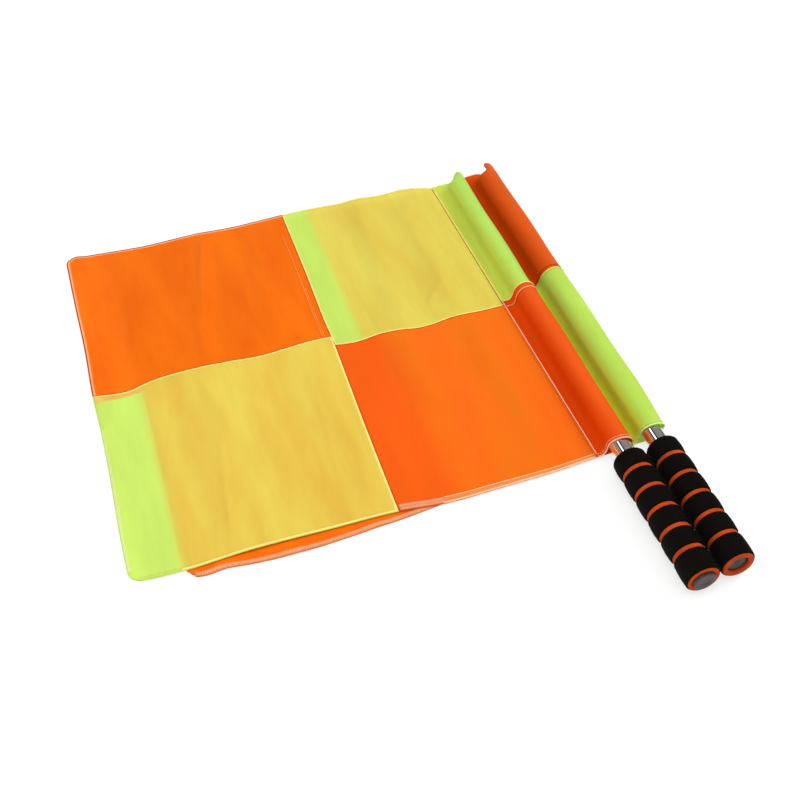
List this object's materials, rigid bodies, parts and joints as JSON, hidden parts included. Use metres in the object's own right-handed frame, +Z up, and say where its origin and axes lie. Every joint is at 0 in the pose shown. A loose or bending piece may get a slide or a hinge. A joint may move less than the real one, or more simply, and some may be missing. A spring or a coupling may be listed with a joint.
{
  "type": "linesman flag pair",
  "caption": "Pair of chequered orange and yellow linesman flags laid flat one on the other, each with a bright tube in a sewn sleeve and a grooved foam hand grip.",
  "frame": {"origin": "on the surface the pair lies on, under the middle of its footprint", "axes": "+X from the fly edge towards the poles, +Y along the poles from grips to tips, +Z up from the surface"},
  "size_m": [0.49, 0.5974, 0.0315],
  "materials": {
    "tube": "bright plated",
    "plug": "satin moulded",
    "foam_black": "matt closed-cell foam",
    "foam_orange": "matt closed-cell foam",
    "cloth_orange": "thin see-through woven nylon",
    "cloth_yellow": "thin see-through woven nylon",
    "hem": "overlocked thread"
  },
  "bodies": {
    "lower_flag": {"lower_field_far_fly": "cloth_yellow", "lower_field_near_fly": "cloth_orange", "lower_field_far_hoist": "cloth_orange", "lower_field_near_hoist": "cloth_yellow", "lower_hem_fly": "hem", "lower_hem_near": "hem", "lower_hem_far": "hem", "lower_seam_centre": "hem", "lower_seam_cross_fly": "cloth_orange", "lower_seam_cross_hoist": "cloth_orange", "lower_sleeve_near": "cloth_yellow", "lower_sleeve_far": "cloth_orange"},
    "lower_pole": {"lower_pole_tube": "tube", "lower_butt_plug": "plug", "lower_tip_plug": "plug", "lower_grip_core": "foam_orange", "lower_grip_bands": "foam_black"},
    "upper_flag": {"upper_field_far_fly": "cloth_orange", "upper_field_near_fly": "cloth_yellow", "upper_field_far_hoist": "cloth_yellow", "upper_field_near_hoist": "cloth_orange", "upper_hem_fly": "hem", "upper_hem_near": "hem", "upper_hem_far": "hem", "upper_seam_centre": "hem", "upper_seam_cross_fly": "cloth_orange", "upper_seam_cross_hoist": "cloth_orange", "upper_sleeve_near": "cloth_orange", "upper_sleeve_far": "cloth_yellow"},
    "upper_pole": {"upper_pole_tube": "tube", "upper_butt_plug": "plug", "upper_tip_plug": "plug", "upper_grip_core": "foam_orange", "upper_grip_bands": "foam_black"}
  },
  "joints": [
    {"name": "lower_pole_turn", "type": "hinge", "parent": "lower_flag", "child": "lower_pole", "pos_m": [0.21591, -0.29289, 0.01649], "axis": [0.0213, 0.9997, -0.011], "continuous": true},
    {"name": "upper_flag_lift", "type": "slide", "parent": "lower_flag", "child": "upper_flag", "axis": [0, 0, 1], "range_m": [0, 0.15]},
    {"name": "upper_pole_turn", "type": "hinge", "parent": "upper_flag", "child": "upper_pole", "pos_m": [0.18301, -0.29651, 0.01602], "axis": [0.0161, 0.9998, -0.0076], "continuous": true}
  ]
}
